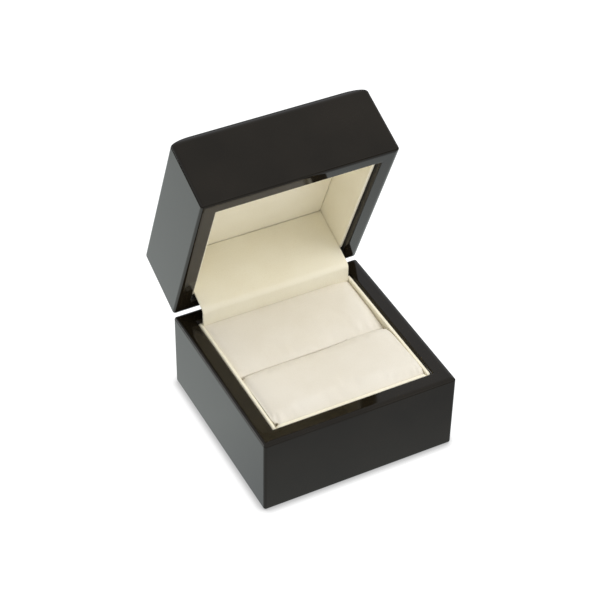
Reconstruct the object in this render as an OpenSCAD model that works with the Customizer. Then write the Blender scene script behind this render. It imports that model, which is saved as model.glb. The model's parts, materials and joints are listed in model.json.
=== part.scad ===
// Ring display box: a lacquered wooden case with a hinged lid, a wrapped lining and a two-part ring pad.
// Millimetres. Origin at the centre of the underside, +X to the right along the front, +Y to the back, +Z up.
// The lid is drawn closed and then turned to the angle at which it stands open.

/* [Case] */
// Outer width, left to right
case_w = 65; // [54:0.5:90]
// Outer depth, front to back
case_d = 64; // [52:0.5:90]
// Height of the base, from the table to its rim
base_h = 27.4; // [24:0.1:45]
// Height of the lid, from its rim to its top
lid_h = 25.8; // [22:0.1:40]
// Thickness of the four boards round the base and round the lid
wall_t = 5.6; // [5:0.1:8]
// Thickness of the floor board
floor_t = 5; // [2.5:0.1:7]
// Thickness of the lid's top board
lid_top_t = 7; // [5:0.1:9]
// Thickness of the felt let into the underside
felt_t = 0.8; // [0.5:0.1:2]
// Gap between the two rims when the lid is closed
rim_gap = 0.2; // [0.1:0.05:0.6]

/* [Edges] */
// Radius of the upright corners
corner_r = 1.5; // [0.5:0.1:3]
// Radius of the edges of both rims
rim_r = 0.8; // [0.3:0.1:1.5]
// Radius of the bottom edges
foot_r = 1; // [0.3:0.1:2]
// Radius of the lid's top edges
top_r = 4; // [1:0.1:4.8]

/* [Lining] */
// Thickness of a wrapped lining card
liner_t = 1.2; // [0.8:0.1:2]
// How far the base lining stops below the rim
base_liner_drop = 0.4; // [0.2:0.1:3]
// How far the lid lining stops inside the lid's rim
lid_liner_drop = 1.6; // [0.2:0.1:3]
// Thickness of the padded panel that lines the lid's top
lid_pad_t = 1.8; // [0.8:0.1:3]
// Thickness of the card behind the padded panel
lid_board_t = 1; // [0.6:0.1:2]
// Gap between a soft piece and its neighbours
soft_gap = 0.3; // [0.2:0.05:0.5]

/* [Ring pad] */
// Thickness of the card under the ring pad
pad_board_t = 1.5; // [1:0.1:3]
// Distance of the ring slot in front of the middle of the case
slot_ahead = 0.7; // [-4:0.1:4]
// Width of the ring slot
slot_w = 0.6; // [0.4:0.1:1.5]
// Crest of the front roll above the base rim
roll_proud = 0.7; // [0:0.1:4]
// Crest of the rear cushion below the base rim
cushion_low = 0.3; // [0:0.1:4]
// Fall of the rear cushion from its back edge to the slot
cushion_fall = 1; // [0:0.1:2]
// Height of the crown of the front roll
roll_crown = 3.6; // [2:0.1:6]
// Height of the crown of the rear cushion
cushion_crown = 2.4; // [1:0.1:5]
// How far the sides of a pad draw in between its corners
side_draw = 0.5; // [0:0.1:1]
// Thickness of the leatherette over a foam core
cover_t = 0.8; // [0.6:0.1:1.5]

/* [Hinge] */
// Angle of the open lid from closed
open_angle = 68; // [30:1:85]
// Distance of the hinge axis behind the case
hinge_back = 0.2; // [0:0.05:0.6]
// Radius of the hinge knuckles
knuckle_r = 1.5; // [1.2:0.05:1.8]
// Radius of the hinge pin
pin_r = 0.5; // [0.4:0.05:0.7]
// Running clearance round the pin
pin_clear = 0.05; // [0.02:0.01:0.09]
// Length of the hinge
leaf_w = 26; // [20:0.5:44]
// Length of the middle knuckle, which turns with the lid
cam_w = 10; // [6:0.5:14]
// Thickness of a hinge leaf
leaf_t = 0.9; // [0.6:0.05:1]
// Reach of a leaf into its rim, from the hinge axis
leaf_reach = 4.4; // [4.2:0.1:5]
// Distance of a hinge screw from the end of its leaf
screw_inset = 4; // [2:0.5:4]
// Radius of a screw's shank
screw_r = 0.5; // [0.4:0.05:0.7]
// Radius of a screw's head
screw_head_r = 1.1; // [0.9:0.05:1.2]
// Length of a screw
screw_l = 6; // [4:0.5:9]
// Thickness of the snap spring
spring_t = 0.4; // [0.3:0.05:0.5]
// Width of the snap spring
spring_w = 8; // [4:0.5:9]
// Height of the snap spring
spring_h = 10; // [6:0.5:14]

/* [Hinge flap] */
// Thickness of the leatherette strip that covers the hinge
flap_t = 0.8; // [0.5:0.1:1]
// Gap between the strip's ends and the side linings
flap_side_gap = 0.5; // [0.3:0.1:0.9]
// Length of the strip that is glued to the base's rear lining
flap_tuck = 5; // [3:0.1:8]
// Radius of the strip's bend between the base and the open lid
flap_bend_r = 2; // [0.8:0.1:3]

/* [Hidden] */
$fn = 48;
eps = 0.01;       // keeps cuts from ending on a face
past = 1;         // how far a cut runs out past a face
cut = 50;         // reach of a cut through everything

// Turn of each side from the front one
FRONT = 0;
RIGHT = 90;
REAR = 180;
LEFT = 270;

// Case
lid_z = base_h + rim_gap;              // lid's rim when closed
lid_board_z = lid_z + lid_h - lid_top_t; // underside of the lid's top board
inside_w = case_w - 2 * wall_t;
inside_d = case_d - 2 * wall_t;
floor_z = felt_t + floor_t;            // top of the floor board

// Lining
lined_w = inside_w - 2 * liner_t;
lined_d = inside_d - 2 * liner_t;
lining_z = lid_board_z - lid_board_t - lid_pad_t; // face of the padded panel when closed

// Hinge
hinge_y = case_d / 2 + hinge_back;
hinge_z = base_h + rim_gap / 2;
notch_clear = 0.3;                     // between a knuckle and the boards round it
knuckle_gap = 0.2;                     // between knuckles and between a knuckle and a leaf
cam_flat = 0.15;                       // depth of the flats that hold the lid open and closed
cam_clear = 0.1;                       // between the turning cam and the spring
spring_y = hinge_y - knuckle_r - cam_clear;
spring_top = base_h - cam_clear;
screw_x = leaf_w / 2 - screw_inset;
screw_y = hinge_y - (leaf_reach + knuckle_r + knuckle_gap) / 2;
screw_fit = 0.05;                      // round a screw in its hole
screw_slot = 0.3;                      // width of the driver slot
head_h = screw_head_r - screw_r;       // a 45 degree countersink

// Hinge flap: y of its middle on the two rear linings
flap_y = lined_d / 2 - flap_t / 2;
flap_steps = 10;

// Ring pad
pad_z = floor_z + pad_board_t;
slot_y = -slot_ahead;
pad_half_w = lined_w / 2 - soft_gap;
roll_front = -lined_d / 2 + soft_gap;
roll_back = slot_y - slot_w / 2;
cushion_front = slot_y + slot_w / 2;
cushion_back = flap_y - flap_t / 2 - soft_gap;
roll_square = [7, 2.7];                // how square a crown is along its length and across it
cushion_square = [8, 4];
grid_x = 20;
grid_y = 11;

// ---------- helpers ----------

// Turns what is drawn on the closed lid to the open position
module opened() {
    translate([0, hinge_y, hinge_z])
        rotate([-open_angle, 0, 0])
            translate([0, -hinge_y, -hinge_z])
                children();
}

// The same turn for a point [y, z]
function turned(p) = let (a = open_angle, y = p[0] - hinge_y, z = p[1] - hinge_z)
    [hinge_y + y * cos(a) + z * sin(a), hinge_z - y * sin(a) + z * cos(a)];

// A quarter-round to cut from the corner of a section; turn 0 is the lower left corner
module corner_cut(x, y, r, turn) {
    translate([x, y])
        rotate(turn)
            difference() {
                translate([-eps, -eps]) square(r + eps);
                translate([r, r]) circle(r);
            }
}

// A rectangle with a radius at each corner, in the order lower left, lower right, upper right, upper left
module section(w, h, r) {
    difference() {
        square([w, h]);
        if (r[0] > 0) corner_cut(0, 0, r[0], 0);
        if (r[1] > 0) corner_cut(w, 0, r[1], 90);
        if (r[2] > 0) corner_cut(w, h, r[2], 180);
        if (r[3] > 0) corner_cut(0, h, r[3], 270);
    }
}

// The case's outline seen from above, as a column
module case_column(z, h) {
    translate([-case_w / 2, -case_d / 2, z])
        linear_extrude(h)
            section(case_w, case_d, [corner_r, corner_r, corner_r, corner_r]);
}

// A section run along X, with its own x pointing back and its own y pointing up
module run_x(length) {
    translate([-length / 2, 0, 0])
        rotate([90, 0, 90])
            linear_extrude(length)
                children();
}

function run_of(side) = (side == FRONT || side == REAR) ? case_w : case_d;
function reach_of(side) = (side == FRONT || side == REAR) ? case_d / 2 : case_w / 2;

// One board of the case with mitred ends; the radii go outer low, inner low, inner high, outer high
module board(side, z, h, radii) {
    run = run_of(side);
    reach = reach_of(side);
    mitre = [
        [-run / 2 - eps, -reach - eps], [run / 2 + eps, -reach - eps],
        [run / 2 - wall_t, -reach + wall_t], [-run / 2 + wall_t, -reach + wall_t]
    ];
    intersection() {
        rotate([0, 0, side])
            intersection() {
                translate([0, -reach, z]) run_x(run) section(wall_t, h, radii);
                translate([0, 0, z - eps]) linear_extrude(h + 2 * eps) polygon(mitre);
            }
        case_column(z - eps, h + 2 * eps);
    }
}

module base_board(side) {
    board(side, 0, base_h, [foot_r, 0, rim_r, rim_r]);
}

module lid_board(side) {
    board(side, lid_z, lid_board_z - lid_z, [rim_r, rim_r, 0, 0]);
}

// A wrapped card against a board, with a round edge at the rim; the front and rear ones fit between the sides
module liner(side, z, h, round_top) {
    between = side == FRONT || side == REAR;
    run = between ? lined_w : inside_d;
    reach = reach_of(side) - wall_t;
    r = liner_t / 2 - eps;
    radii = round_top ? [0, 0, r, r] : [r, r, 0, 0];
    rotate([0, 0, side])
        translate([0, -reach, z])
            run_x(run)
                section(liner_t, h, radii);
}

module base_liner(side) {
    liner(side, floor_z, base_h - base_liner_drop - floor_z, true);
}

module lid_liner(side) {
    liner(side, lid_z + lid_liner_drop, lid_board_z - lid_z - lid_liner_drop, false);
}

// ---------- ring pad ----------

// Places from -1 to 1, closer together near the ends
function spread(i, n) = -cos(180 * i / n);

// Height of a crown across a half width, from 0 at the edge to 1 in the middle
function crown(t, square_n) = pow(max(0, 1 - pow(abs(t), square_n)), 1 / square_n);

// A block with a crowned top and sides that draw in between its corners, half as far at the front and back.
// The fall lowers the top towards the front, where v is -1.
module crowned_block(half_w, half_d, z_low, z_top, rise, square_n, fall) {
    shoulder = z_top - rise;
    function plan(u, v) = [
        u * (half_w - side_draw * (1 - v * v)),
        v * (half_d - side_draw * (1 - u * u) / 2)
    ];
    function top(u, v) = shoulder - fall * (1 - v) / 2
        + rise * crown(u, square_n[0]) * crown(v, square_n[1]);
    function at(i, j) = i * (grid_y + 1) + j;
    around = 2 * (grid_x + grid_y);
    ring = [
        for (i = [0 : grid_x - 1]) [i, 0],
        for (j = [0 : grid_y - 1]) [grid_x, j],
        for (i = [0 : grid_x - 1]) [grid_x - i, grid_y],
        for (j = [0 : grid_y - 1]) [0, grid_y - j]
    ];
    low = (grid_x + 1) * (grid_y + 1);
    middle = low + around;
    points = [
        for (i = [0 : grid_x]) for (j = [0 : grid_y])
            let (u = spread(i, grid_x), v = spread(j, grid_y), p = plan(u, v)) [p[0], p[1], top(u, v)],
        for (c = ring)
            let (p = plan(spread(c[0], grid_x), spread(c[1], grid_y))) [p[0], p[1], z_low],
        [0, 0, z_low]
    ];
    faces = [
        for (i = [0 : grid_x - 1]) for (j = [0 : grid_y - 1]) each [
            [at(i, j), at(i, j + 1), at(i + 1, j + 1)],
            [at(i, j), at(i + 1, j + 1), at(i + 1, j)]
        ],
        for (k = [0 : around - 1])
            let (n = (k + 1) % around, a = at(ring[k][0], ring[k][1]), b = at(ring[n][0], ring[n][1])) each [
                [a, b, low + n],
                [a, low + n, low + k],
                [middle, low + k, low + n]
            ]
    ];
    polyhedron(points, faces);
}

// One pad between two planes across the case, shrunk by inset on every face but the lowest
module pad(front, back, z_low, z_top, rise, square_n, fall, inset) {
    translate([0, (front + back) / 2, 0])
        crowned_block(pad_half_w - inset, (back - front) / 2 - inset, z_low, z_top - inset,
            rise, square_n, fall);
}

module roll_form(z_low, inset) {
    pad(roll_front, roll_back, z_low, base_h + roll_proud, roll_crown, roll_square, 0, inset);
}

module cushion_form(z_low, inset) {
    pad(cushion_front, cushion_back, z_low, base_h - cushion_low, cushion_crown, cushion_square,
        cushion_fall, inset);
}

// ---------- hinge ----------

// A cylinder round the hinge axis between two places along X
module on_axis(x0, x1, r) {
    translate([x0, hinge_y, hinge_z]) rotate([0, 90, 0]) cylinder(h = x1 - x0, r = r);
}

// Mirrors what is drawn for the base's rim onto the lid's rim
module on_lid_rim() {
    translate([0, 0, 2 * hinge_z]) mirror([0, 0, 1]) children();
}

// The plate of a leaf, let flush into a rim, or its seat when grown out past the rim and the rear face
module leaf_plate(grown) {
    translate([-leaf_w / 2, hinge_y - leaf_reach, base_h - leaf_t])
        cube([leaf_w, leaf_reach + grown, leaf_t + grown]);
}

// A screw with its head flush in a leaf, or its hole when grown by a fit
module screw(x, fit) {
    r = screw_r + fit;
    translate([x, screw_y, base_h]) {
        translate([0, 0, -screw_l - fit]) cylinder(h = screw_l + fit, r = r);
        translate([0, 0, -head_h - fit]) cylinder(h = head_h + fit, r1 = r, r2 = screw_head_r + fit);
    }
}

module screws() {
    for (x = [-screw_x, screw_x])
        difference() {
            screw(x, 0);
            translate([x - cut / 2, screw_y - screw_slot / 2, base_h - screw_slot])
                cube([cut, screw_slot, past]);
        }
}

module screw_holes() {
    for (x = [-screw_x, screw_x]) screw(x, screw_fit);
}

// What a rim's rear board gives up to its leaf, its screws and the knuckles
module hinge_seat() {
    leaf_plate(past);
    on_axis(-leaf_w / 2 - notch_clear, leaf_w / 2 + notch_clear, knuckle_r + notch_clear);
    screw_holes();
}

// The snap spring, or its slot in the rear board when grown upwards
module spring_strip(grown) {
    translate([-spring_w / 2, spring_y - spring_t, spring_top - spring_h])
        cube([spring_w, spring_t, spring_h + grown]);
}

// The middle knuckle, with one flat towards the spring when open and another when closed
module cam() {
    difference() {
        on_axis(-cam_w / 2, cam_w / 2, knuckle_r);
        for (a = [0, open_angle])
            translate([0, hinge_y, hinge_z])
                rotate([a, 0, 0])
                    translate([-cut / 2, -knuckle_r - past, -cut / 2])
                        cube([cut, past + cam_flat, cut]);
    }
}

// ---------- pieces of the base ----------

module base_front_wall() {
    color("#1f1b19") base_board(FRONT);
}

module base_left_wall() {
    color("#1f1b19") base_board(LEFT);
}

module base_right_wall() {
    color("#1f1b19") base_board(RIGHT);
}

module base_rear_wall() {
    color("#1f1b19")
        difference() {
            base_board(REAR);
            hinge_seat();
            spring_strip(past);
        }
}

module base_floor_panel() {
    color("#2a2421")
        translate([-inside_w / 2, -inside_d / 2, felt_t])
            cube([inside_w, inside_d, floor_t]);
}

module base_felt() {
    color("#17171a")
        translate([-inside_w / 2, -inside_d / 2, 0])
            cube([inside_w, inside_d, felt_t]);
}

module base_front_liner() {
    color("#e8dfca") base_liner(FRONT);
}

module base_left_liner() {
    color("#e8dfca") base_liner(LEFT);
}

module base_right_liner() {
    color("#e8dfca") base_liner(RIGHT);
}

module base_rear_liner() {
    color("#e8dfca") base_liner(REAR);
}

module pad_board() {
    color("#b7a888")
        translate([-pad_half_w, -lined_d / 2 + soft_gap, floor_z])
            cube([2 * pad_half_w, lined_d - 2 * soft_gap, pad_board_t]);
}

module front_roll_foam() {
    color("#f2ead8") roll_form(pad_z, cover_t + soft_gap);
}

module front_roll_cover() {
    color("#ece2cf")
        difference() {
            roll_form(pad_z, 0);
            roll_form(pad_z - past, cover_t);
        }
}

module rear_cushion_foam() {
    color("#f2ead8") cushion_form(pad_z, cover_t + soft_gap);
}

module rear_cushion_cover() {
    color("#e2d9c5")
        difference() {
            cushion_form(pad_z, 0);
            cushion_form(pad_z - past, cover_t);
        }
}

module hinge_base_leaf() {
    gap_w = cam_w + 2 * knuckle_gap;
    color("#b9b5aa")
        difference() {
            union() {
                leaf_plate(0);
                on_axis(-leaf_w / 2, leaf_w / 2, knuckle_r);
            }
            on_axis(-gap_w / 2, gap_w / 2, knuckle_r + knuckle_gap);
            on_axis(-cut, cut, pin_r);
            translate([-gap_w / 2, spring_y - spring_t, base_h - leaf_t - past])
                cube([gap_w, cut, cut]);
            screw_holes();
        }
}

module hinge_base_screws() {
    color("#c9c5ba") screws();
}

module hinge_pin() {
    color("#c9c5ba") on_axis(-leaf_w / 2, leaf_w / 2, pin_r);
}

module hinge_spring() {
    color("#8d8f92") spring_strip(0);
}

// The strip goes up from the base's rear lining, bends back and runs up all of the lid's rear lining.
// A side of it, as points [y, z], lies off its middle by k, which is positive towards the inside of the box.
module hinge_flap() {
    low = base_h - base_liner_drop - flap_tuck;
    high = turned([flap_y, lid_z + lid_liner_drop]);
    end = turned([flap_y, lining_z - soft_gap]);
    along = [sin(open_angle), cos(open_angle)];
    bend_z = high[1] - (high[0] - flap_y) * along[1] / along[0];
    centre = [flap_y + flap_bend_r, bend_z - flap_bend_r * tan(open_angle / 2)];
    function side(k) = [
        [flap_y - k, low],
        for (i = [0 : flap_steps])
            let (a = open_angle * i / flap_steps) centre + (flap_bend_r + k) * [-cos(a), sin(a)],
        end + k * [-along[1], along[0]]
    ];
    inner = side(flap_t / 2);
    outer = side(-flap_t / 2);
    last = len(outer) - 1;
    color("#e6dcc6")
        run_x(lined_w - 2 * flap_side_gap)
            polygon([each inner, for (i = [0 : last]) outer[last - i]]);
}

// ---------- pieces of the lid ----------

module lid_front_wall() {
    color("#1f1b19") opened() lid_board(FRONT);
}

module lid_left_wall() {
    color("#1f1b19") opened() lid_board(LEFT);
}

module lid_right_wall() {
    color("#1f1b19") opened() lid_board(RIGHT);
}

module lid_rear_wall() {
    color("#1f1b19")
        opened()
            difference() {
                lid_board(REAR);
                on_lid_rim() hinge_seat();
            }
}

module lid_top_panel() {
    color("#1f1b19")
        opened()
            intersection() {
                translate([0, -case_d / 2, lid_board_z])
                    run_x(case_w) section(case_d, lid_top_t, [0, 0, top_r, top_r]);
                rotate([0, 0, 90])
                    translate([0, -case_w / 2, lid_board_z])
                        run_x(case_d) section(case_w, lid_top_t, [0, 0, top_r, top_r]);
                case_column(lid_board_z - eps, lid_top_t + 2 * eps);
            }
}

module lid_front_liner() {
    color("#e8dfca") opened() lid_liner(FRONT);
}

module lid_left_liner() {
    color("#e8dfca") opened() lid_liner(LEFT);
}

module lid_right_liner() {
    color("#e8dfca") opened() lid_liner(RIGHT);
}

module lid_rear_liner() {
    color("#e8dfca") opened() lid_liner(REAR);
}

// The card and the padded panel lie on the lid's top board, between the four linings
module lid_top_board() {
    w = lined_w - 2 * soft_gap;
    d = lined_d - 2 * soft_gap;
    color("#b7a888")
        opened()
            translate([-w / 2, -d / 2, lid_board_z - lid_board_t])
                cube([w, d, lid_board_t]);
}

module lid_top_lining() {
    w = lined_w - 2 * soft_gap;
    d = lined_d - 2 * soft_gap;
    r = lid_pad_t / 2;
    color("#e8dfca")
        opened()
            intersection() {
                translate([0, -d / 2, lining_z]) run_x(w) section(d, lid_pad_t, [r, r, 0, 0]);
                rotate([0, 0, 90])
                    translate([0, -w / 2, lining_z])
                        run_x(d)
                            section(w, lid_pad_t, [r, r, 0, 0]);
            }
}

module hinge_lid_leaf() {
    color("#b9b5aa")
        opened()
            difference() {
                union() {
                    difference() {
                        on_lid_rim() leaf_plate(0);
                        on_axis(-cut, cut, knuckle_r + knuckle_gap);
                    }
                    intersection() {
                        on_lid_rim() leaf_plate(0);
                        translate([-cam_w / 2, 0, 0]) cube([cam_w, cut, cut]);
                    }
                    cam();
                }
                on_axis(-cut, cut, pin_r + pin_clear);
                on_lid_rim() screw_holes();
            }
}

module hinge_lid_screws() {
    color("#c9c5ba") opened() on_lid_rim() screws();
}

base_front_wall();
base_left_wall();
base_right_wall();
base_rear_wall();
base_floor_panel();
base_felt();
base_front_liner();
base_left_liner();
base_right_liner();
base_rear_liner();
pad_board();
front_roll_foam();
front_roll_cover();
rear_cushion_foam();
rear_cushion_cover();
hinge_base_leaf();
hinge_base_screws();
hinge_pin();
hinge_spring();
hinge_flap();
lid_front_wall();
lid_left_wall();
lid_right_wall();
lid_rear_wall();
lid_top_panel();
lid_front_liner();
lid_left_liner();
lid_right_liner();
lid_rear_liner();
lid_top_board();
lid_top_lining();
hinge_lid_leaf();
hinge_lid_screws();
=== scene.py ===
"""A ring display box of black lacquer, lined with cream leatherette, with its lid standing open.

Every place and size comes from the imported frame. The lid's pieces are built on the closed box, then turned
open. Lengths are in metres, and an inset is measured inwards from the case's outer face.
"""

import json
import math

import bmesh
import bpy
from mathutils import Matrix, Vector, noise

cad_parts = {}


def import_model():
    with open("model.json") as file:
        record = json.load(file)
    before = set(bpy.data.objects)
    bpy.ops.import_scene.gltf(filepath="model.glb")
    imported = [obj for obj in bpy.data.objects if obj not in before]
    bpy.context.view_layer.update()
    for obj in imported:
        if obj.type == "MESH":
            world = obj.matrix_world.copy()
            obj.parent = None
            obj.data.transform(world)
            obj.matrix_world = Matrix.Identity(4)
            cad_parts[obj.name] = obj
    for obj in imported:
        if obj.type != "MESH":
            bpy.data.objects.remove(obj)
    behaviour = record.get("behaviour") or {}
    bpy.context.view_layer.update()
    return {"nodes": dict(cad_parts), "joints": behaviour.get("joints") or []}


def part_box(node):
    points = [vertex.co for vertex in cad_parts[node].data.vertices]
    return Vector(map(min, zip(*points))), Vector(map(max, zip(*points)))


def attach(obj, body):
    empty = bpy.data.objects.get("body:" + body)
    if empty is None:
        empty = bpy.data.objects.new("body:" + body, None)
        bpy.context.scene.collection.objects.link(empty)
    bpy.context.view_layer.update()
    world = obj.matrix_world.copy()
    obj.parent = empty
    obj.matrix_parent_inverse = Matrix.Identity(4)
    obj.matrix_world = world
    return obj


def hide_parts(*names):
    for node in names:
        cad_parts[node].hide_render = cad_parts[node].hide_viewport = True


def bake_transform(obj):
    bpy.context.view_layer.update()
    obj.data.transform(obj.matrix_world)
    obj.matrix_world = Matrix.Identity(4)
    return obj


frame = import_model()

MM = 0.001
NEAR = 0.05 * MM                        # a face this close to a plane lies in it
CUT_PAST = 1 * MM                       # how far a cut runs out of the wood
EDGE_ANGLE = 35                         # degrees between two faces, above which their edge stays sharp

# Case
RIM_R = 0.8 * MM
RIM_EASE_R = 3.2 * MM                   # polishing rolls the rim off gently before its outer edge
RIM_EASE_FROM = 70                      # degrees at which this roll starts; 0 faces outwards and 90 up
FOOT_R = 1.0 * MM
TOP_EDGE = (6.6 * MM, 4.0 * MM)         # how far in and how far down the top rounds off at the front and rear
TOP_SIDE_EDGE = (12.0 * MM, 3.9 * MM)   # and to the left and right
TOP_STEPS = 16
CORNER_R = 0.9 * MM
TOP_CORNER_R = 1.1 * MM
TOP_CORNER_GROWS = 9.0 * MM             # towards the flat of the top
INNER_CORNER_R = 0.2 * MM
CORNER_STEPS = 8
ROD_STEPS = 40

# Hinge and its flap
KNUCKLE_R = 1.5 * MM
KNUCKLE_ROOM = 0.3 * MM
LEAF_T = 0.9 * MM
LEAF_REACH = 4.4 * MM                   # into its rim, from the hinge axis
FLAP_NODE_T = 0.8 * MM                  # in the source
FLAP_T = 0.7 * MM
FLAP_FIT = 0.12 * MM                    # between it and each side lining
FLAP_BEND_R = 2.0 * MM
FLAP_STEPS = (14, 10, 24)               # up to the bend, round it and along the lid
FLAP_COLUMNS = 40
FLAP_SLACK = 0.06 * MM                  # how far it waves
FLAP_SLACK_SIZE = 0.5                   # in half widths

# Lining
LINING_EDGE_ANGLE = 50                  # what EDGE_ANGLE is for the case
FIT = 0.04 * MM                         # between a pad and the lining it is pressed against
LINER_EDGE_R = (0.6 * MM, 0.3 * MM)     # towards the wall and towards the pad
LINER_END_R = 1.4 * MM
LINER_STATIONS = 28
LINER_FACE_STEPS = 6
LINER_WAVE = 0.04 * MM
LINER_WAVE_SIZE = 9 * MM
LINER_WAVE_FADE = 3 * MM                # towards a card's ends
LID_CREASE = 0.1 * MM                   # the dark line left round the lid's top padding
LID_PAD_GRID = (48, 48)
LID_PAD_FALL = 0.15                     # of its thickness, at its edges
LID_PAD_SQUARE = 50                     # how close to its edges that fall stays
LID_PAD_WAVE = 0.08 * MM
LID_PAD_WAVE_SIZE = 0.35                # in half widths
LID_PAD_LIFT = 0.04 * MM

# Ring pad: the front roll
ROLL_EDGE_FRONT = 2.3 * MM              # from the crest down to the front edge
ROLL_EDGE_SLOT = 3.4 * MM               # and into the slot
ROLL_EDGE_SIDES = 1.0 * MM              # and to the side edges at the front
ROLL_EDGE_LEFT = 1.0 * MM               # and to the left edge at the slot
ROLL_EDGE_RIGHT = 3.4 * MM              # and to the right one
ROLL_SOFT = (0.85, 0.4)                 # how much of the left and right side falls gently
ROLL_SIDE_SQUARE = 22
ROLL_SLOT_SQUARE = 7
ROLL_FRONT_POWER = 6
ROLL_FALL_LEFT = 1.15 * MM              # how much lower the slot's edge is on the left than at its right end
ROLL_FALL_FROM = 0.85                   # where this fall starts, in half widths
ROLL_FALL_OVER = 0.9
ROLL_FALL_POWER = 3
SLOT_CORNER = (1.3 * MM, 0.3 * MM)      # how far the roll turns down at the slot's left and right end
SLOT_CORNER_REACH = 2.4 * MM
SLOT_CORNER_POWER = 8
CORNER_GAP = (0.6 * MM, 1.2 * MM)       # how far the front left corner stands off the left and front lining
CORNER_GAP_REACH = 2.8 * MM
CORNER_CURL = 0.7                       # how much of the front's fall the curled corner takes back
CORNER_CURL_REACH = 5.6 * MM

# Ring pad: the rear cushion
CUSHION_FALL = 1.25 * MM                # from its back down to the slot
CUSHION_FALL_POWER = 3
CUSHION_EDGE_LEFT = 0.5 * MM
CUSHION_EDGE_RIGHT = 1.9 * MM
CUSHION_EDGE_SLOT = 0.6 * MM
CUSHION_EDGE_BACK = 0.2                 # of the fall at the sides
CUSHION_SOFT = 0.4
CUSHION_SIDE_SQUARE = 14
CUSHION_BACK_SQUARE = 9
CUSHION_SLOT_SQUARE = 24
SLOT_RIGHT = 0.8 * MM                   # how much wider the slot opens at its right end than in the source

# Both pads
PAD_GRID = (64, 40)
PAD_SIDE_STEPS = 8
PAD_DRAW = 0.06 * MM                    # how far the sides draw in between the corners
PAD_WAVE = 0.12 * MM
PAD_WAVE_SIZE = 0.6                     # in half widths
GENTLE_POWER = 8                        # of the gentle falls at the sides
SWELL = 0.25 * MM                       # the most that simulation presses a face out
SIM_SCALE = 10
SIM_PRESSURE = 4
SIM_SLACK = 0.012                       # how much the cloth wants to grow, of its size
SIM_FRAMES = 20
HELD_EDGE = 0.2 * MM                    # how far from a pad's sides the cloth is held
HELD_FADE = 1.2 * MM                    # and how far further it is let go

# Studio
FLOOR_REACH = 4.0
FLOOR_CLEARANCE = 0.05 * MM             # so that the underside doesn't lie in the floor
FLOOR_GREY = 0.12
FLOOR_GLOW = 1.06
PAINTED_SHADOW_GLOW = 0.5                      # what is left of the glow right beside the box, where the painted contact shadow is darkest
# how far from the box the painted contact shadow reaches
PAINTED_SHADOW_REACH = 3.0 * MM
PAINTED_SHADOW_OPEN = 0.5                      # how much of the space above the floor is open right beside the box
PAINTED_FLOOR_REFLECTION = ((0.46, 0.50, 0.54), (0.92, 0.99, 0.975))    # painted reflection glow of the floor for gloss rays, ahead of the box and behind it
BEHIND = (-0.25, 0.97, 0)
FLOOR_TURNS = (-0.06, 0.02)             # from ahead to behind, between these places along BEHIND
SWEEP_ENDS = (0.16, 0.24)               # in that painted reflection the floor gives way to the dark room this far from the middle
DARK_ROOM = 0.22
SKY_IN_LACQUER = ((0.12, DARK_ROOM), (0.25, 0.875), (1.0, 0.56))    # (height, level) pairs
SKY_TINT = (0.96, 1.0, 1.08)
AMBIENT = 0.69
AIM = Vector((0, 0, 0.04))              # what the lamps look at

# The photograph's viewpoint, found from the box's straight edges
VIEW_AZIMUTH = math.radians(-27.965)
VIEW_ELEVATION = math.radians(40.878)
VIEW_ROLL = math.radians(1.087)
VIEW_DISTANCE = 590.52 * MM
VIEW_SLIDE = (-3.527 * MM, 35.162 * MM)
LENS_PIXELS = 1858.5
FRAME_PIXELS = 600
SENSOR = 36.0
CLIP_START = 10 * MM


# ---------- frame ----------

joint = frame["joints"][0]
hinge = Vector(joint["pos_m"])
shut_turn = Matrix.Rotation(math.radians(min(joint["range_deg"])), 4, Vector(joint["axis"]))
SHUT = Matrix.Translation(hinge) @ shut_turn @ Matrix.Translation(-hinge)
OPEN = SHUT.inverted()


def shut_box(node):
    """The lowest and highest corner of a lid node on the closed box."""
    corners = [SHUT @ v.co for v in frame["nodes"][node].data.vertices]
    return (Vector([min(c[k] for c in corners) for k in range(3)]),
            Vector([max(c[k] for c in corners) for k in range(3)]))


case_low, case_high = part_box("base_left_wall")
HALF_W = -case_low.x
RIM_Z = case_high.z
HALF_D = -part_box("base_front_wall")[0].y
WALL = case_high.x - case_low.x
LID_RIM_Z = shut_box("lid_left_wall")[0].z
CEILING_Z, TOP_Z = (corner.z for corner in shut_box("lid_top_panel"))


# ---------- mesh helpers ----------

def new_object(name, data):
    """An object with this data, in the scene."""
    obj = bpy.data.objects.new(name, data)
    bpy.context.scene.collection.objects.link(obj)
    return obj


def piece(name, points, faces, material, slot):
    """A smooth mesh object with its normals outward; slot, the name of its material's slot, is not used."""
    mesh = bpy.data.meshes.new(name)
    mesh.from_pydata([tuple(p) for p in points], [], faces)
    work = bmesh.new()
    work.from_mesh(mesh)
    bmesh.ops.recalc_face_normals(work, faces=work.faces)
    work.to_mesh(mesh)
    work.free()
    mesh.shade_smooth()
    mesh.materials.append(material)
    obj = new_object(name, mesh)
    return obj


def bake(obj):
    """Applies the object's modifiers to its mesh."""
    graph = bpy.context.evaluated_depsgraph_get()
    mesh = bpy.data.meshes.new_from_object(obj.evaluated_get(graph))
    obj.modifiers.clear()
    obj.data = mesh


def crisp(obj, degrees=EDGE_ANGLE):
    """Smooth shading that keeps flat faces mirror flat beside their roundings."""
    obj.data.set_sharp_from_angle(angle=math.radians(degrees))
    normals = obj.modifiers.new("normals", "WEIGHTED_NORMAL")
    normals.keep_sharp = True


def arc(inset, z, r, start, end, steps=6):
    """Points (inset, z) round a centre, from one angle to another in degrees; 0 points inwards and 90 up."""
    angles = [math.radians(start + (end - start) * i / steps) for i in range(steps + 1)]
    return [(inset + r * math.cos(a), z + r * math.sin(a)) for a in angles]


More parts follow.
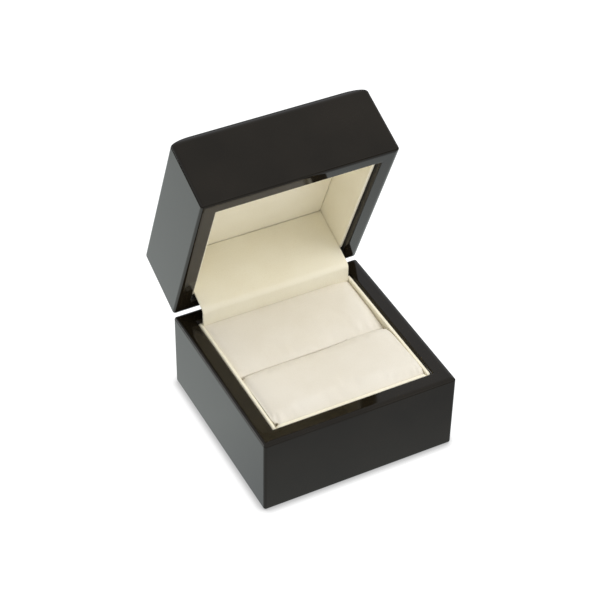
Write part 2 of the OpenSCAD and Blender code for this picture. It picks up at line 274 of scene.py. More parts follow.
def eased_edge(rim_z, up):
    """Points (inset, z) from the flat rim out over its edge to the outer face.
    up is 1 on the base and -1 on the lid."""
    meet = math.radians(RIM_EASE_FROM)
    flat_inset = RIM_R * (1 - math.cos(meet)) + RIM_EASE_R * math.cos(meet)
    edge_centre = -RIM_EASE_R * (1 - math.sin(meet)) - RIM_R * math.sin(meet)
    edge = arc(flat_inset, -RIM_EASE_R, RIM_EASE_R, 90, 180 - RIM_EASE_FROM, steps=5)
    edge += arc(RIM_R, edge_centre, RIM_R, 180 - RIM_EASE_FROM, 180, steps=7)[1:]
    return [(inset, rim_z + up * rise) for inset, rise in edge]


def rounded_ring(edge, radius, side_edge=None):
    """A rounded rectangle round the case through an (inset, z) point, from the front right corner on.
    The left and right sides may have a point of their own; the corners lead from one to the other."""
    inset, z = edge
    side_inset, side_z = side_edge or edge
    ring = []
    for k, (sx, sy) in enumerate(((1, -1), (1, 1), (-1, 1), (-1, -1))):
        for i in range(CORNER_STEPS + 1):
            a = math.radians(90 * (k - 1 + i / CORNER_STEPS))
            ring.append(Vector((sx * (HALF_W - side_inset - radius) + radius * math.cos(a),
                                sy * (HALF_D - inset - radius) + radius * math.sin(a),
                                z + (side_z - z) * math.cos(a) ** 2)))
    return ring


def skin(rings, closed, capped=False):
    """Quads between rings of equal length. The last ring is joined to the first if closed, and both are
    filled if capped."""
    n = len(rings[0])
    points = [p for ring in rings for p in ring]
    faces = []
    for a in range(len(rings) if closed else len(rings) - 1):
        b = (a + 1) % len(rings)
        faces += [(a * n + i, a * n + (i + 1) % n, b * n + (i + 1) % n, b * n + i) for i in range(n)]
    if capped:
        faces += [tuple(range(n)), tuple(range((len(rings) - 1) * n, len(rings) * n))]
    return points, faces


def cutter(points, faces):
    """A piece that is there only to be cut out of another."""
    return piece("cutter", points, faces, None, "lacquer")


def block(low, high):
    """A cutter between two corners."""
    xs, ys, zs = zip(low, high)
    points = [Vector((x, y, z)) for x in xs for y in ys for z in zs]
    faces = [(0, 1, 3, 2), (4, 6, 7, 5), (0, 4, 5, 1), (2, 3, 7, 6), (0, 2, 6, 4), (1, 5, 7, 3)]
    return cutter(points, faces)


def rod(x0, x1, y, z, r):
    """A cutter along X."""
    turns = [2 * math.pi * i / ROD_STEPS for i in range(ROD_STEPS)]
    ends = [[Vector((x, y + r * math.cos(a), z + r * math.sin(a))) for a in turns] for x in (x0, x1)]
    return cutter(*skin(ends, closed=False, capped=True))


def cut(obj, tool):
    """Takes a cutter out of a piece and removes the cutter."""
    taken = obj.modifiers.new("taken", "BOOLEAN")
    taken.operation = "DIFFERENCE"
    taken.solver = "EXACT"
    taken.object = tool
    bake(obj)
    bpy.data.objects.remove(tool, do_unlink=True)


def ripple(p, scale, seed=0.0):
    """Smooth noise from -1 to 1 at a point."""
    return noise.noise(Vector(p) / scale + Vector((seed, 2 * seed, -seed)))


def between(a, b, t):
    """From a to b as t goes from 0 to 1."""
    return a + (b - a) * t


def packed(i, n):
    """The i-th of n + 1 places from -1 to 1, closer together near both ends."""
    return -math.cos(math.pi * i / n)


def ease(t):
    """From 0 to 1, level at both ends and beyond them."""
    t = min(1.0, max(0.0, t))
    return t * t * (3 - 2 * t)


def crown(t, square):
    """From 1 in the middle to 0 at the edge, fuller as square grows."""
    return max(0.0, 1 - abs(t) ** square) ** (1 / square)


# ---------- materials ----------

class Tree:
    """A material's or world's node tree, with short calls for what is used here."""

    def __init__(self, owner):
        owner.use_nodes = True
        self.owner = owner
        self.tree = owner.node_tree

    def add(self, kind, **settings):
        node = self.tree.nodes.new(kind)
        for key, value in settings.items():
            setattr(node, key, value)
        return node

    def join(self, output, socket):
        self.tree.links.new(output, socket)

    def put(self, node, **sockets):
        """Sets or joins a node's sockets, named with _ for a space, and gives the node."""
        for key, value in sockets.items():
            socket = node.inputs[key.replace("_", " ")]
            if isinstance(value, bpy.types.NodeSocket):
                self.join(value, socket)
            else:
                socket.default_value = value
        return node

    def mix(self, share, first, second):
        """A node that goes from one node's shader to another's as the share goes from 0 to 1."""
        node = self.add("ShaderNodeMixShader")
        for socket, output in zip(node.inputs, (share, first.outputs[0], second.outputs[0])):
            self.join(output, socket)
        return node

    def tints(self, value, *stops):
        """A colour ramp of (position, (r, g, b)) stops."""
        ramp = self.add("ShaderNodeValToRGB")
        elements = ramp.color_ramp.elements
        while len(elements) < len(stops):
            elements.new(0.5)
        for element, (position, colour) in zip(elements, stops):
            element.position = position
            element.color = (*colour, 1)
        self.join(value, ramp.inputs["Fac"])
        return ramp.outputs["Color"]


class Finish(Tree):
    """A new material with its shader. Patterns lie in object coordinates."""

    def __init__(self, name):
        super().__init__(bpy.data.materials.new(name))
        self.shader = self.tree.nodes["Principled BSDF"]
        self.place = self.add("ShaderNodeTexCoord").outputs["Object"]

    def stretch(self, factors):
        """Object coordinates multiplied along each axis."""
        return self.put(self.add("ShaderNodeMapping"), Scale=factors, Vector=self.place).outputs["Vector"]

    def noise(self, size, detail=2.0, rough=0.5, place=None):
        node = self.add("ShaderNodeTexNoise")
        self.put(node, Scale=1 / size, Detail=detail, Roughness=rough, Vector=place or self.place)
        return node.outputs["Fac"]

    def cells(self, size, feature="F1", place=None):
        node = self.add("ShaderNodeTexVoronoi", feature=feature)
        self.put(node, Scale=1 / size, Vector=place or self.place)
        return node.outputs["Distance"]

    def spread(self, value, low, high, to_low=0.0, to_high=1.0):
        node = self.add("ShaderNodeMapRange")
        self.put(node, Value=value, From_Min=low, From_Max=high, To_Min=to_low, To_Max=to_high)
        return node.outputs["Result"]

    def vector(self, operation, *others):
        """A number worked out from the place and the other vectors."""
        node = self.add("ShaderNodeVectorMath", operation=operation)
        self.join(self.place, node.inputs[0])
        for socket, value in zip(node.inputs[1:], others):
            socket.default_value = value
        return node.outputs["Value"]

    def maths(self, operation, a, b):
        node = self.add("ShaderNodeMath", operation=operation)
        for socket, value in zip(node.inputs, (a, b)):
            if isinstance(value, (int, float)):
                socket.default_value = value
            else:
                self.join(value, socket)
        return node.outputs[0]

    def bump(self, height, distance, under=None):
        """Normals of a height, on top of those that lie under it."""
        node = self.put(self.add("ShaderNodeBump"), Height=height, Distance=distance)
        if under:
            self.join(under, node.inputs["Normal"])
        return node.outputs["Normal"]

    def finish(self, **sockets):
        """Sets or joins the shader's sockets and gives the material."""
        self.put(self.shader, **sockets)
        return self.owner


def lacquer():
    """Piano black: a hard mirror with the faintest orange peel, hazed in places by handling."""
    n = Finish("lacquer")
    peel = n.bump(n.noise(2.6 * MM, 1.0), 0.0015 * MM)
    haze = n.spread(n.noise(9 * MM, 3.0), 0.35, 0.75, 0.035, 0.085)
    tint = n.tints(n.noise(14 * MM, 2.0), (0.3, (0.009, 0.0068, 0.0036)), (0.75, (0.0125, 0.0096, 0.0056)))
    return n.finish(Base_Color=tint, Roughness=haze, Normal=peel, IOR=1.36)


def leatherette(name, light, shade, grain, depth, rough):
    """Coated cloth with a pebbled grain: light and shade are its colours, mottled at random in clouds and, as
    painted shade, darker between the pebbles.
    """
    n = Finish(name)
    pebbles = n.spread(n.cells(grain, "DISTANCE_TO_EDGE"), 0.0, 0.16)
    pores = n.noise(grain * 0.35, 2.0)
    height = n.maths("ADD", pebbles, n.maths("MULTIPLY", pores, 0.5))
    clouds = n.noise(11 * MM, 3.0)
    # Painted shade: besides the random clouds, the colour darkens between the pebbles, in the grain's creases
    mottle_and_crease_shade = n.maths("ADD", n.maths("MULTIPLY", clouds, 0.75), n.maths("MULTIPLY", pebbles, 0.25))
    tint = n.tints(mottle_and_crease_shade, (0.3, shade), (0.68, light))
    gloss = n.spread(pores, 0.3, 0.7, rough - 0.05, rough + 0.06)
    soft = n.bump(n.noise(6 * MM, 2.0), 0.05 * MM)
    return n.finish(Base_Color=tint, Roughness=gloss, Normal=n.bump(height, depth, under=soft),
                    IOR=1.45, Sheen_Weight=0.06, Sheen_Roughness=0.4)


def felt():
    """Black felt with its fibres raised."""
    n = Finish("felt")
    fibres = n.noise(0.25 * MM, 4.0, 0.7)
    tint = n.tints(n.noise(1.5 * MM, 3.0), (0.3, (0.006, 0.006, 0.007)), (0.7, (0.016, 0.016, 0.018)))
    return n.finish(Base_Color=tint, Roughness=0.95, Normal=n.bump(fibres, 0.12 * MM), Sheen_Weight=0.4)


def card():
    """Grey board with specks of other fibre."""
    n = Finish("card")
    specks = n.spread(n.cells(0.9 * MM), 0.08, 0.2)
    tint = n.tints(n.maths("MULTIPLY", specks, n.noise(2.0 * MM, 4.0)),
                   (0.1, (0.10, 0.09, 0.075)), (0.45, (0.36, 0.33, 0.28)))
    return n.finish(Base_Color=tint, Roughness=0.9, Normal=n.bump(n.noise(0.3 * MM, 3.0), 0.03 * MM))


def stained_board():
    """Pressed board under a thin black stain, with its flakes showing."""
    n = Finish("board")
    flakes = n.cells(1.4 * MM, place=n.stretch((1.0, 0.55, 1.0)))
    tint = n.tints(flakes, (0.1, (0.018, 0.013, 0.010)), (0.6, (0.008, 0.0065, 0.0055)))
    return n.finish(Base_Color=tint, Roughness=0.75, Normal=n.bump(flakes, 0.05 * MM))


def foam():
    """Yellowish foam with open cells, painted darker in their pits as shade."""
    n = Finish("foam")
    cells = n.cells(0.45 * MM)
    # Painted shade: the colour darkens towards the cells' pits, as their bump does
    tint = n.tints(cells, (0.1, (0.55, 0.50, 0.38)), (0.5, (0.80, 0.76, 0.64)))
    return n.finish(Base_Color=tint, Roughness=0.9, Normal=n.bump(cells, 0.2 * MM))


def steel(name, tone, rough, grain):
    """Brushed steel; grain multiplies the coordinates, so its least factor is the way the brushing runs."""
    n = Finish(name)
    lines = n.noise(0.4 * MM, 3.0, 0.6, n.stretch(grain))
    gloss = n.spread(lines, 0.3, 0.7, rough - 0.07, rough + 0.1)
    stain = n.tints(n.noise(5 * MM, 3.0), (0.3, tuple(0.82 * c for c in tone)), (0.7, tone))
    return n.finish(Base_Color=stain, Metallic=1.0, Roughness=gloss, Normal=n.bump(lines, 0.01 * MM))


LACQUER = lacquer()
LINING = leatherette("lining", (0.91, 0.86, 0.695), (0.865, 0.805, 0.63), 0.42 * MM, 0.022 * MM, 0.45)
PAD_COVER = leatherette("pad_cover", (0.77, 0.725, 0.635), (0.725, 0.675, 0.575), 0.34 * MM, 0.016 * MM, 0.42)
FINISHES = {
    "board": stained_board(),
    "felt": felt(),
    "card": card(),
    "foam": foam(),
    "lacquer": LACQUER,
    "lining": LINING,
    "pad_cover": PAD_COVER,
    "hinge_steel": steel("hinge_steel", (0.58, 0.56, 0.52), 0.3, (0.08, 1.0, 1.0)),
    "screw_steel": steel("screw_steel", (0.66, 0.64, 0.60), 0.25, (1.0, 0.3, 1.0)),
    "spring_steel": steel("spring_steel", (0.34, 0.35, 0.38), 0.35, (1.0, 1.0, 0.08)),
}


def dress_cad_nodes():
    """Every CAD node gets its slot's material; what is replaced later is hidden anyway."""
    for node in frame["nodes"].values():
        for slot in node.material_slots:
            slot.material = FINISHES[slot.material.name.split(".")[0]]
        node.data.set_sharp_from_angle(angle=math.radians(EDGE_ANGLE))


# ---------- case ----------

def base_shell():
    """The four lacquered walls as one body, with the seats for the hinge and its spring."""
    section = [(WALL, 0)]
    section += arc(WALL - RIM_R, RIM_Z - RIM_R, RIM_R, 0, 90)
    section += eased_edge(RIM_Z, 1)
    section += arc(FOOT_R, FOOT_R, FOOT_R, 180, 270)
    rings = [rounded_ring(edge, max(CORNER_R - edge[0], INNER_CORNER_R)) for edge in section]
    shell = piece("base_shell", *skin(rings, closed=True), LACQUER, "lacquer")
    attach(shell, "base")
    cut_hinge_seat(shell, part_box("hinge_base_leaf"), RIM_Z, 1)
    low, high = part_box("hinge_spring")
    cut(shell, block((low.x, low.y, low.z), (high.x, high.y, RIM_Z + CUT_PAST)))
    stain_inside(shell, shut=False)
    crisp(shell)
    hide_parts("base_front_wall", "base_left_wall", "base_right_wall", "base_rear_wall")


def lid_shell():
    """The lid's walls and top as one body with a soft top edge, built closed and turned open."""
    section = [(WALL, CEILING_Z)]
    section += arc(WALL - RIM_R, LID_RIM_Z + RIM_R, RIM_R, 0, -90)
    section += eased_edge(LID_RIM_Z, -1)
    rings = [rounded_ring(edge, max(TOP_CORNER_R - edge[0], INNER_CORNER_R)) for edge in section]
    for out, rise in arc(0, 0, 1, 0, 90, steps=TOP_STEPS):
        inwards, down = 1 - out, 1 - rise
        end, side = ((inwards * reach, TOP_Z - down * fall) for reach, fall in (TOP_EDGE, TOP_SIDE_EDGE))
        rings.append(rounded_ring(end, TOP_CORNER_R + TOP_CORNER_GROWS * inwards, side))
    shell = piece("lid_shell", *skin(rings, closed=False, capped=True), LACQUER, "lacquer")
    cut_hinge_seat(shell, shut_box("hinge_lid_leaf"), LID_RIM_Z, -1)
    stain_inside(shell, shut=True)
    crisp(shell)
    open_up(shell)
    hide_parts("lid_front_wall", "lid_left_wall", "lid_right_wall", "lid_rear_wall", "lid_top_panel")


def cut_hinge_seat(shell, leaf, rim_z, up):
    """Room for a leaf let into a rim and for the knuckles; up is 1 on the base and -1 on the lid."""
    half_w = leaf[1].x
    near_y = min(leaf[0].y, hinge.y - LEAF_REACH)
    z0, z1 = sorted((rim_z - up * LEAF_T, rim_z + up * CUT_PAST))
    cut(shell, block((-half_w, near_y, z0), (half_w, HALF_D + CUT_PAST, z1)))
    room = half_w + KNUCKLE_ROOM
    cut(shell, rod(-room, room, hinge.y, hinge.z, KNUCKLE_R + KNUCKLE_ROOM))


def stain_inside(shell, shut):
    """The walls' inner faces, the ceiling and the underside have no lacquer, only the black stain."""
    shell.data.materials.append(FINISHES["board"])
    for face in shell.data.polygons:
        inset = min(HALF_W - abs(face.center.x), HALF_D - abs(face.center.y))
        inner = inset > WALL - NEAR and face.center.z < CEILING_Z + NEAR
        under = not shut and face.center.z < NEAR
        if inner or under:
            face.material_index = 1


def open_up(obj):
    """Turns a piece built on the closed box open, and hangs it on the lid."""
    obj.data.transform(OPEN)
    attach(obj, "lid")


# ---------- lining ----------

def liner(node, side, up, shut):
    """A wrapped card that stands inside a wall, with a round edge and eased ends at the rim, a little wavy.
    side is the wall it lines, and up is 1 where its rim edge is high and -1 where it is low."""
    low, high = shut_box(node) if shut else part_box(node)
    along = 1 if side in ("left", "right") else 0
    across = 1 - along
    inward = 1 if side in ("left", "front") else -1
    back = low[across] if inward > 0 else high[across]
    thick = high[across] - low[across]
    rim, foot = (high.z, low.z) if up > 0 else (low.z, high.z)
    rings = []
    for k in range(LINER_STATIONS + 1):
        run = between(low[along], high[along], (1 + packed(k, LINER_STATIONS)) / 2)
        near_end = min(run - low[along], high[along] - run)
        eased = max(0.0, 1 - near_end / LINER_END_R)
        drop = LINER_END_R * (1 - math.sqrt(max(0.0, 1 - eased * eased)))
        waviness = LINER_WAVE * min(1, near_end / LINER_WAVE_FADE)
        ring = []
        for depth, height in liner_section(thick, abs(rim - foot) - drop):
            if depth > thick / 2:
                depth += ripple((run, height, 0), LINER_WAVE_SIZE, seed=len(node)) * waviness
            p = Vector((0, 0, foot + up * height))
            p[along] = run
            p[across] = back + inward * depth
            ring.append(p)
        rings.append(ring)
    obj = piece(node + "_wrap", *skin(rings, closed=False, capped=True), LINING, "lining")
    crisp(obj, LINING_EDGE_ANGLE)
    if shut:
        open_up(obj)
    else:
        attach(obj, "base")
    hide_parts(node)


def liner_section(thick, height):
    """A card's section as (depth, height) points, with its upper edges round."""
    outer, inner = LINER_EDGE_R
    section = [(0, 0)]
    section += arc(outer, height - outer, outer, 180, 90)
    section += arc(thick - inner, height - inner, inner, 90, 0)
    steps = LINER_FACE_STEPS
    return section + [(thick, (height - inner) * (1 - k / steps)) for k in range(1, steps + 1)]


def lined_half(left, front):
    """Half the width and depth between the liners, less the fit."""
    return -left[1].x - FIT, -front[1].y - FIT


def lid_top_lining():
    """The padded panel pressed between the lid's liners: a thin cushion, fullest off its edges."""
    low, high = shut_box("lid_top_lining")
    fall = (high.z - low.z) * LID_PAD_FALL
    reach = [r - LID_CREASE for r in lined_half(shut_box("lid_left_liner"), shut_box("lid_front_liner"))]
    low.x, low.y, high.x, high.y = -reach[0], -reach[1], reach[0], reach[1]

    def face(u, v):
        full = math.sqrt(1 - abs(u) ** LID_PAD_SQUARE) * math.sqrt(1 - abs(v) ** LID_PAD_SQUARE)
        wave = ripple((u, v, 0), LID_PAD_WAVE_SIZE, seed=3) * LID_PAD_WAVE
        return low.z + fall * (1 - full) + (wave + LID_PAD_LIFT) * full

    obj = pillow("lid_top_padding", low, high, face, high.z, LID_PAD_GRID, LINING, "lining")
    open_up(obj)
    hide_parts("lid_top_lining")


# ---------- ring pad ----------

def straight(u, v):
    """A plan that moves no point."""
    return u, v


def pillow(name, low, high, face, back_z, grid, material, slot, plan=straight):
    """A closed pad: a face of heights over u and v from -1 to 1, upright sides and a flat back.
    The plan says where each u and v lie between low and high, again from -1 to 1."""
    columns, rows = grid
    us = [packed(i, columns) for i in range(columns + 1)]
    vs = [packed(j, rows) for j in range(rows + 1)]
    middle, half = (low + high) / 2, (high - low) / 2

    def spot(u, v, z):
        pu, pv = plan(u, v)
        return Vector((middle.x + pu * half.x, middle.y + pv * half.y, z))

    points = [spot(u, v, face(u, v)) for u in us for v in vs]
    corners = [i * (rows + 1) + j for i in range(columns) for j in range(rows)]
    faces = [(a, a + rows + 1, a + rows + 2, a + 1) for a in corners]
    edge = [(i, 0) for i in range(columns)] + [(columns, j) for j in range(rows)]
    edge += [(columns - i, rows) for i in range(columns)] + [(0, rows - j) for j in range(rows)]
    last = [i * (rows + 1) + j for i, j in edge]
    for k in range(1, PAD_SIDE_STEPS + 1):
        t = k / PAD_SIDE_STEPS
        first = len(points)
        points += [spot(us[i], vs[j], face(us[i], vs[j]) * (1 - t) + back_z * t) for i, j in edge]
        ring = list(range(first, len(points)))
        following = last[1:] + last[:1]
        faces += list(zip(last, following, ring[1:] + ring[:1], ring))
        last = ring
    faces.append(tuple(last))
    return piece(name, points, faces, material, slot)


def swell(pad):
    """Presses the pad's cover out as simulated cloth, held at its edges and back, and keeps the result.
    The cloth is run on a copy at a larger size, and no point moves further than SWELL."""
    scene = bpy.context.scene
    mesh = pad.data.copy()
    mesh.transform(Matrix.Scale(SIM_SCALE, 4))
    copy = new_object("swelling", mesh)
    places = [v.co for v in pad.data.vertices]
    low, high = (Vector([pick(p[k] for p in places) for k in range(3)]) for pick in (min, max))
    held = copy.vertex_groups.new(name="held")
    for index, p in enumerate(places):
        from_edge = min(p.x - low.x, high.x - p.x, p.y - low.y, high.y - p.y)
        held.add([index], 1 - ease((from_edge - HELD_EDGE) / HELD_FADE), "REPLACE")
    modifier = copy.modifiers.new("cloth", "CLOTH")
    cloth = modifier.settings
    cloth.vertex_group_mass = held.name
    cloth.use_pressure = True
    cloth.uniform_pressure_force = SIM_PRESSURE
    cloth.shrink_min = -SIM_SLACK
    cloth.effector_weights.gravity = 0
    modifier.point_cache.frame_end = SIM_FRAMES
    for number in range(1, SIM_FRAMES + 1):
        scene.frame_set(number)
    swollen = copy.evaluated_get(bpy.context.evaluated_depsgraph_get()).data.vertices
    for vertex, after in zip(pad.data.vertices, swollen):
        way = after.co / SIM_SCALE - vertex.co
        if way.length > 0:
            vertex.co += way * (SWELL * math.tanh(way.length / SWELL) / way.length)
    scene.frame_set(1)
    bpy.data.objects.remove(copy, do_unlink=True)


def drawn_in(low, high):
    """A plan whose sides draw in between the corners, half as far at the front and back."""
    draw_u = PAD_DRAW / ((high.x - low.x) / 2)
    draw_v = PAD_DRAW / ((high.y - low.y) / 2) / 2
    return lambda u, v: (u * (1 - draw_u * (1 - v * v)), v * (1 - draw_v * (1 - u * u)))


def side_fall(u, soft, square):
    """From 0 in the middle to 1 at the sides; soft is how much of it falls gently."""
    return soft * abs(u) ** GENTLE_POWER + (1 - soft) * (1 - crown(u, square))


def pad_wave(u, v, side, end, seed):
    """The unevenness of a pad's face, which fades where the face falls away."""
    return ripple((u, v, 0), PAD_WAVE_SIZE, seed=seed) * PAD_WAVE * (1 - side) * (1 - end)


def pad_reach():
    """Half the width and depth that the pads fill in the base."""
    return lined_half(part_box("base_left_liner"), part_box("base_front_liner"))


def front_roll():
    """The bulging front half of the ring pad: its side edges fall towards the slot, more so on the right."""
    low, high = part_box("front_roll_cover")
    high.x, front = pad_reach()
    low.x, low.y = -high.x, -front
    half_w, half_d = high.x, (high.y - low.y) / 2
    crest = high.z

    def face(u, v):
        to_slot = (1 + v) / 2
        at_slot = between(ROLL_EDGE_LEFT, ROLL_EDGE_RIGHT, (1 + u) / 2)
        side_drop = between(ROLL_EDGE_SIDES, at_slot, to_slot)
        if v > 0:
            end_drop = ROLL_EDGE_SLOT
            end = 1 - crown(v, ROLL_SLOT_SQUARE)
        else:
            curl = ease(1 - (1 + u) * half_w / CORNER_CURL_REACH)
            end_drop = ROLL_EDGE_FRONT * (1 - CORNER_CURL * curl)
            end = abs(v) ** ROLL_FRONT_POWER
        side = side_fall(u, ROLL_SOFT[u >= 0], ROLL_SIDE_SQUARE)
        fall = ROLL_FALL_LEFT * ease((ROLL_FALL_FROM - u) / ROLL_FALL_OVER) * to_slot ** ROLL_FALL_POWER
        at_corner = ease(1 - (1 - abs(u)) * half_w / SLOT_CORNER_REACH)
        fall += SLOT_CORNER[u > 0] * at_corner * to_slot ** SLOT_CORNER_POWER
        wave = pad_wave(u, v, side, end, seed=1)
        return crest - PAD_WAVE - side_drop * side - end_drop * end - fall + wave

    sides = drawn_in(low, high)

    def plan(u, v):
        pu, pv = sides(u, v)
        at_left = ease(1 - (1 + u) * half_w / CORNER_GAP_REACH)
        at_front = ease(1 - (1 + v) * half_d / CORNER_GAP_REACH)
        off = at_left * at_front
        return pu + CORNER_GAP[0] * off / half_w, pv + CORNER_GAP[1] * off / half_d

    obj = pillow("front_roll_pad", low, high, face, low.z, PAD_GRID, PAD_COVER, "pad_cover", plan)
    swell(obj)
    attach(obj, "base")
    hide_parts("front_roll_cover", "front_roll_foam")


def rear_cushion():
    """The flatter rear half, whose top falls a little towards the slot."""
    low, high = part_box("rear_cushion_cover")
    high.x = pad_reach()[0]
    low.x = -high.x
    high.y = flap_y() - FLAP_T / 2 - FIT

    def face(u, v):
        top = high.z - CUSHION_FALL * ((1 - v) / 2) ** CUSHION_FALL_POWER
        drop = between(CUSHION_EDGE_LEFT, CUSHION_EDGE_RIGHT, (1 + u) / 2)
        side = side_fall(u, CUSHION_SOFT, CUSHION_SIDE_SQUARE)
        end = 1 - crown(v, CUSHION_BACK_SQUARE if v > 0 else CUSHION_SLOT_SQUARE)
        end_drop = CUSHION_EDGE_BACK * drop if v > 0 else CUSHION_EDGE_SLOT
        return top - PAD_WAVE - drop * side - end_drop * end + pad_wave(u, v, side, end, seed=2)

    sides = drawn_in(low, high)

    def plan(u, v):
        pu, pv = sides(u, v)
        opened = SLOT_RIGHT * ease((1 + u) / 2) ** 2
        return pu, pv + opened * (1 - v) / (high.y - low.y)

    obj = pillow("rear_cushion_pad", low, high, face, low.z, PAD_GRID, PAD_COVER, "pad_cover", plan)
    swell(obj)
    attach(obj, "base")
    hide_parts("rear_cushion_cover", "rear_cushion_foam")


# ---------- hinge flap ----------

def flap_y():
    """Where the middle of the hinge flap stands in the base."""
    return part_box("hinge_flap")[0].y + FLAP_NODE_T / 2


def flap_line(at_rim):
    """The flap's middle line: up the base, round a bend, and up the open lid past the point at its rim."""
    base_y = flap_y()
    before, round_bend, beyond = FLAP_STEPS
    turn = math.radians(-min(joint["range_deg"]))
    bend_z = at_rim.z - (at_rim.y - base_y) * math.cos(turn) / math.sin(turn)
    reach = FLAP_BEND_R * math.tan(turn / 2)
    start = Vector((0, base_y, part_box("hinge_flap")[0].z))
    bend_start = Vector((0, base_y, bend_z - reach))
    centre = bend_start + Vector((0, FLAP_BEND_R, 0))
    end = OPEN @ Vector((0, base_y, shut_box("lid_top_lining")[0].z - LID_CREASE))
    angles = [turn * k / round_bend for k in range(round_bend + 1)]
    line = [start.lerp(bend_start, k / before) for k in range(before)]
    line += [centre + FLAP_BEND_R * Vector((0, -math.cos(a), math.sin(a))) for a in angles]
    bend_end = line[-1]
    return line + [bend_end.lerp(end, k / beyond) for k in range(1, beyond + 1)]


def hinge_flap():
    """One sheet from behind the rear cushion over the hinge and up the lid's rear lining."""
    base_y = flap_y()
    half_w = -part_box("base_left_liner")[1].x - FLAP_FIT
    at_rim = OPEN @ Vector((0, base_y, LID_RIM_Z))
    line = flap_line(at_rim)
    rings = []
    for k, p in enumerate(line):
        way = (line[min(len(line) - 1, k + 1)] - line[max(0, k - 1)]).normalized()
        out = Vector((0, -way.z, way.y))
        ring = []
        for face in (1, -1):
            for c in range(FLAP_COLUMNS + 1):
                u = (2 * c / FLAP_COLUMNS - 1) * face
                slack = ripple((u, 2 * k / len(line), 0), FLAP_SLACK_SIZE, seed=5) * FLAP_SLACK
                ring.append(p + Vector((u * half_w, 0, 0)) + out * (face * FLAP_T / 2 + slack))
        rings.append(ring)
    obj = piece("hinge_flap_sheet", *skin(rings, closed=False, capped=True), LINING, "lining")
    crisp(obj, LINING_EDGE_ANGLE)
    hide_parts("hinge_flap")
    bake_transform(obj)


# ---------- studio ----------

def floor():
    """A white floor with a painted contact shadow under the box, its glow dimmed there, over the faint real
    shadow of its grey; it shows bright in the lacquer as a painted reflection.
    """
    n = Finish("floor")
    # Painted contact shadow: the floor's glow dims where ambient occlusion finds the box close, whatever the
    # lamps do
    near = n.put(n.add("ShaderNodeAmbientOcclusion", samples=16), Distance=PAINTED_SHADOW_REACH)
    glow = n.spread(near.outputs["AO"], PAINTED_SHADOW_OPEN, 1.0, PAINTED_SHADOW_GLOW, FLOOR_GLOW)
    n.finish(Base_Color=(FLOOR_GREY, FLOOR_GREY, FLOOR_GREY, 1), Roughness=1.0, Specular_IOR_Level=0.0,
             Emission_Color=(1, 1, 1, 1), Emission_Strength=glow)
    # Painted reflection: to gloss rays the floor glows whatever the lamps do, dim in front of the box, bright
    # beside and behind it, and dark further off
    ahead, behind = PAINTED_FLOOR_REFLECTION
    colour = n.tints(n.spread(n.vector("DOT_PRODUCT", BEHIND), *FLOOR_TURNS), (0.0, ahead), (1.0, behind))
    level = n.spread(n.vector("LENGTH"), *SWEEP_ENDS, 1.0, DARK_ROOM)
    seen = n.put(n.add("ShaderNodeEmission"), Color=colour, Strength=level)
    above = n.mix(n.add("ShaderNodeLightPath").outputs["Is Glossy Ray"], n.shader, seen)
    # From below it doesn't hide the box's underside
    below = n.add("ShaderNodeNewGeometry").outputs["Backfacing"]
    surface = n.mix(below, above, n.add("ShaderNodeBsdfTransparent"))
    n.join(surface.outputs[0], n.tree.nodes["Material Output"].inputs["Surface"])

    mesh = bpy.data.meshes.new("floor")
    spots = ((-1, -1), (1, -1), (1, 1), (-1, 1))
    corners = [(x * FLOOR_REACH, y * FLOOR_REACH, -FLOOR_CLEARANCE) for x, y in spots]
    mesh.from_pydata(corners, [], [(0, 1, 2, 3)])
    mesh.materials.append(n.owner)
    new_object("floor", mesh)


def world():
    """Pure white behind the box, soft light all round, and in the lacquer a sky that dims towards its zenith
    and gives way to a dark room at its horizon."""
    studio = bpy.data.worlds.new("studio")
    bpy.context.scene.world = studio
    n = Tree(studio)
    n.tree.nodes.clear()
    way = n.add("ShaderNodeSeparateXYZ")
    n.join(n.add("ShaderNodeTexCoord").outputs["Generated"], way.inputs[0])
    stops = [(height, [level * c for c in SKY_TINT]) for height, level in SKY_IN_LACQUER]
    colours = ((AMBIENT, AMBIENT, AMBIENT, 1), n.tints(way.outputs["Z"], *stops), (1, 1, 1, 1))
    soft, sky, white = (n.put(n.add("ShaderNodeBackground"), Color=colour) for colour in colours)
    ray = n.add("ShaderNodeLightPath").outputs
    around = n.mix(ray["Is Glossy Ray"], soft, sky)
    in_view = n.mix(ray["Is Camera Ray"], around, white)
    n.join(in_view.outputs[0], n.add("ShaderNodeOutputWorld").inputs["Surface"])


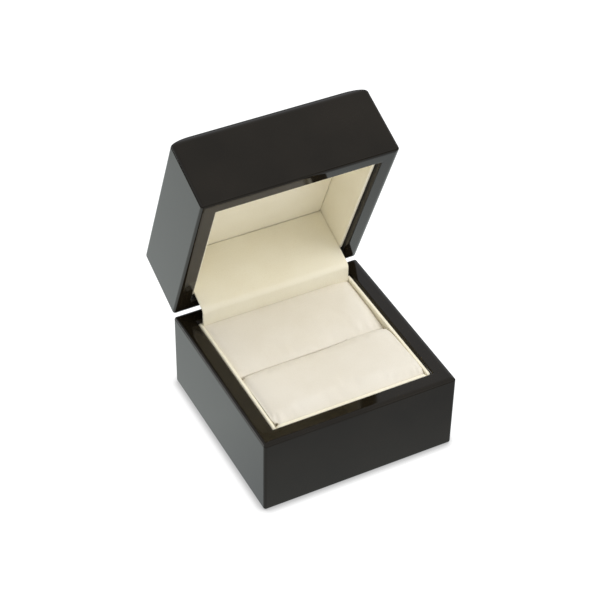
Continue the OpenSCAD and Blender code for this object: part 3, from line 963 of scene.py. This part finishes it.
def lamp(name, direction, distance, size, power, in_gloss=True, in_diffuse=True):
    """An area light that looks at the box from a direction, seen by gloss or by diffuse surfaces or both."""
    data = bpy.data.lights.new(name, "AREA")
    data.shape = "RECTANGLE"
    data.size, data.size_y = size
    data.energy = power
    obj = new_object(name, data)
    way = Vector(direction).normalized()
    obj.location = AIM + way * distance
    obj.rotation_euler = way.to_track_quat("Z", "Y").to_euler()
    obj.visible_glossy = in_gloss
    obj.visible_diffuse = in_diffuse
    obj.visible_camera = False


def camera():
    """A camera at the photograph's viewpoint."""
    level = math.cos(VIEW_ELEVATION)
    back = Vector((math.sin(VIEW_AZIMUTH) * level, -math.cos(VIEW_AZIMUTH) * level, math.sin(VIEW_ELEVATION)))
    right = Vector((0, 0, 1)).cross(back).normalized()
    up = back.cross(right)
    rolled_right = math.cos(VIEW_ROLL) * right + math.sin(VIEW_ROLL) * up
    rolled_up = math.cos(VIEW_ROLL) * up - math.sin(VIEW_ROLL) * right
    data = bpy.data.cameras.new("camera")
    data.sensor_width = SENSOR
    data.lens = LENS_PIXELS * SENSOR / FRAME_PIXELS
    data.clip_start = CLIP_START
    obj = new_object("camera", data)
    turn = Matrix((rolled_right, rolled_up, back)).transposed()
    place = VIEW_SLIDE[0] * rolled_right + VIEW_SLIDE[1] * rolled_up + VIEW_DISTANCE * back
    obj.matrix_world = Matrix.Translation(place) @ turn.to_4x4()
    bpy.context.scene.camera = obj


# ---------- build ----------

dress_cad_nodes()
base_shell()
lid_shell()
for side in ("front", "left", "right", "rear"):
    liner(f"base_{side}_liner", side, 1, shut=False)
    liner(f"lid_{side}_liner", side, -1, shut=True)
lid_top_lining()
front_roll()
rear_cushion()
hinge_flap()

floor()
world()
lamp("overhead", (0.55, -0.24, 0.85), distance=0.5, size=(0.4, 0.4), power=1.8, in_gloss=False)
lamp("edge_light", (-0.72, 0.67, 0.19), distance=0.9, size=(0.45, 0.16), power=2.0, in_diffuse=False)
camera()
bpy.context.scene.view_settings.view_transform = "Standard"
